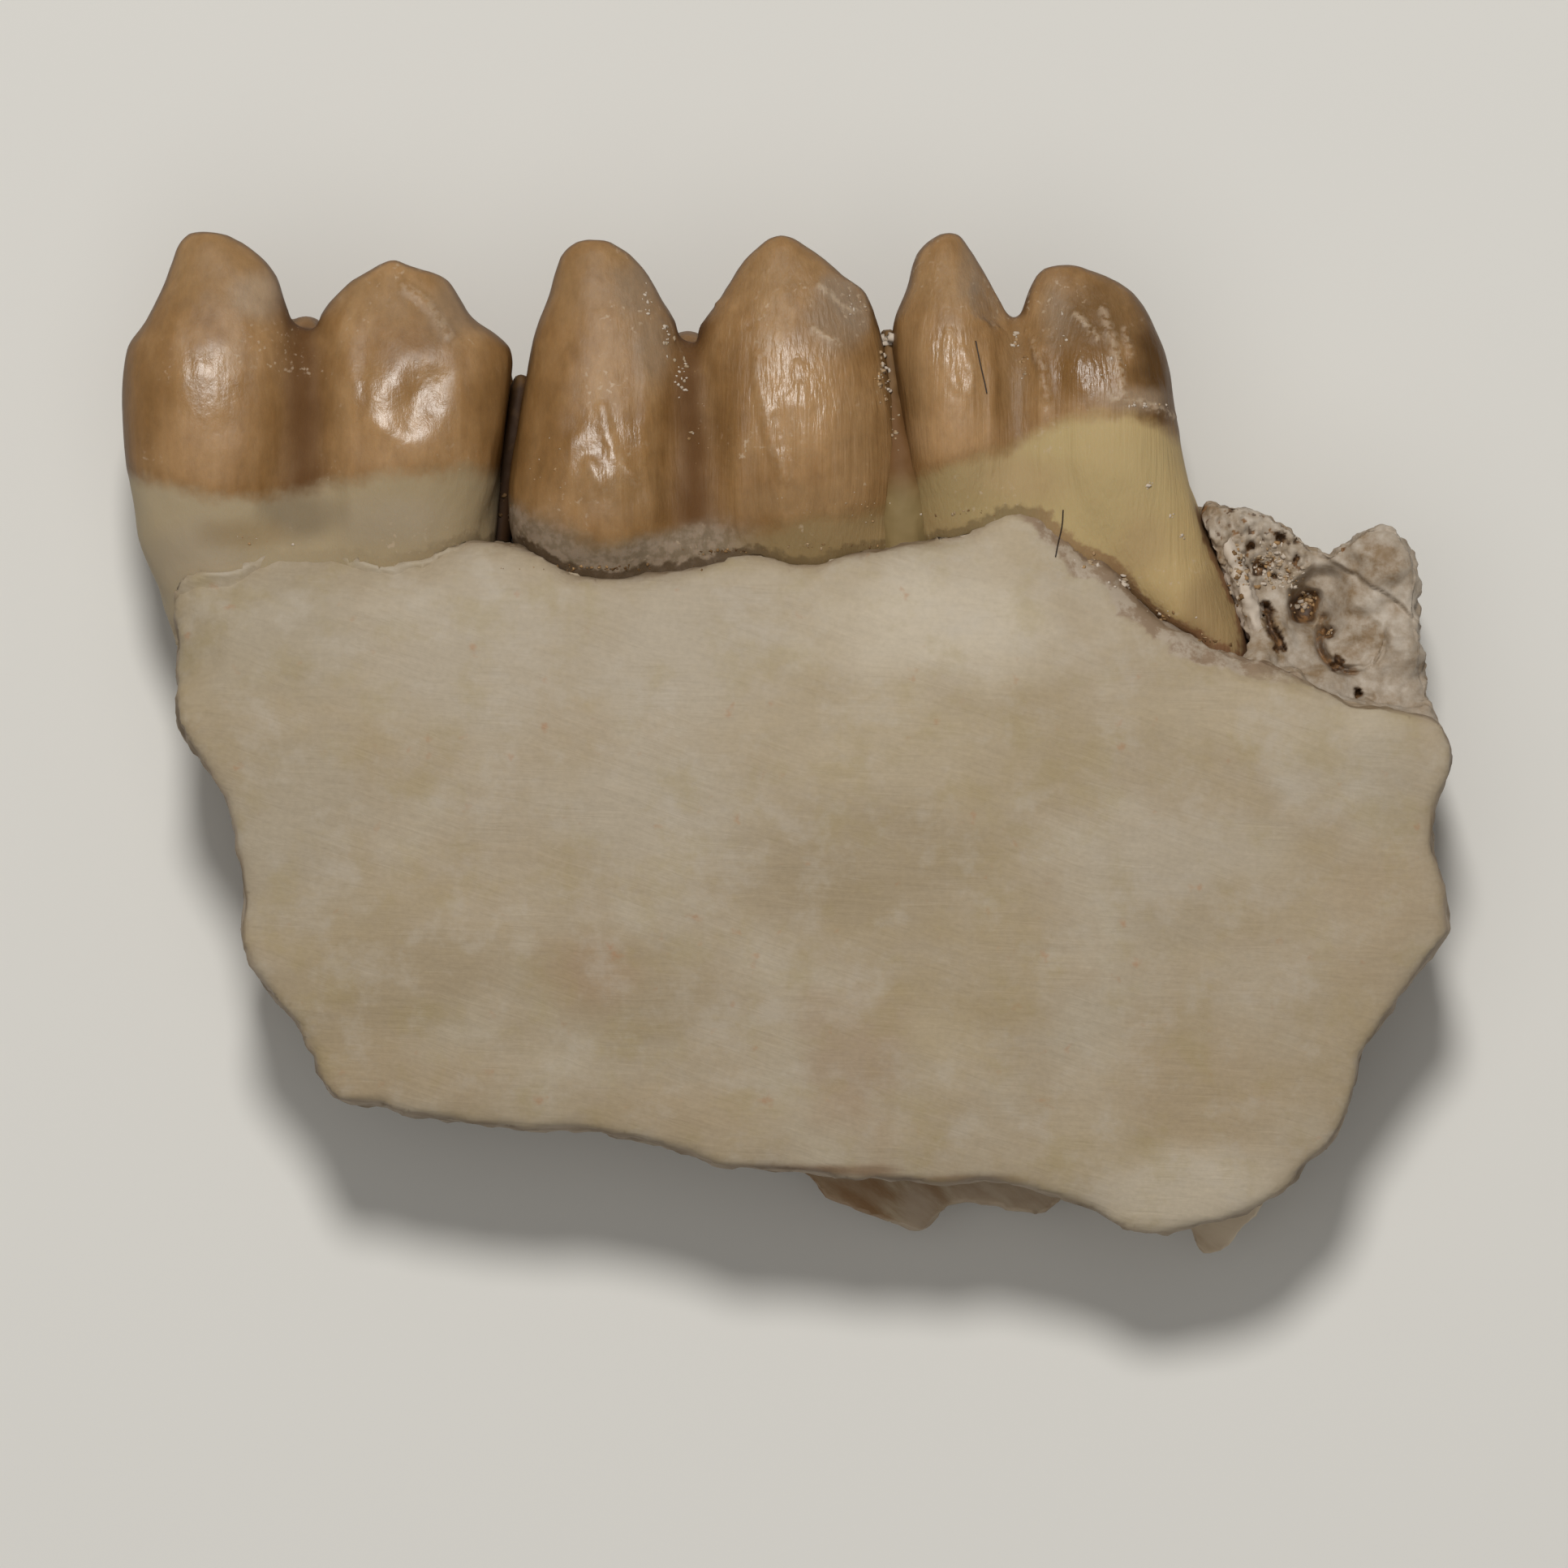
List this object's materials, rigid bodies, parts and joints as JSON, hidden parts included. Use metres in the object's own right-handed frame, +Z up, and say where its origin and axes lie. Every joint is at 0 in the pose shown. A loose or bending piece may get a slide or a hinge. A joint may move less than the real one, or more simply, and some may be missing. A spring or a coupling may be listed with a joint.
{
  "type": "fossil jaw fragment",
  "caption": "Broken piece of a small hoofed animal's fossil lower jaw with a row of crescent-cusped cheek teeth, lying on its cheek side.",
  "frame": {"origin": "centre of the bounding box, at the surface that the piece lies on", "axes": "+X along the tooth row towards the front of the jaw, +Y from the broken lower edge to the cusp tips, +Z up, from the cheek side that it lies on to the tongue side"},
  "size_m": [0.0241, 0.0186, 0.0055],
  "materials": {
    "fossil_bone": "pale, fine-grained mineralised bone, matte",
    "tooth_enamel": "amber-brown polished enamel over duller yellow roots"
  },
  "bodies": {
    "root": {"jaw_bone": "fossil_bone", "molar_front": "tooth_enamel", "molar_middle": "tooth_enamel", "molar_rear": "tooth_enamel"}
  },
  "joints": []
}
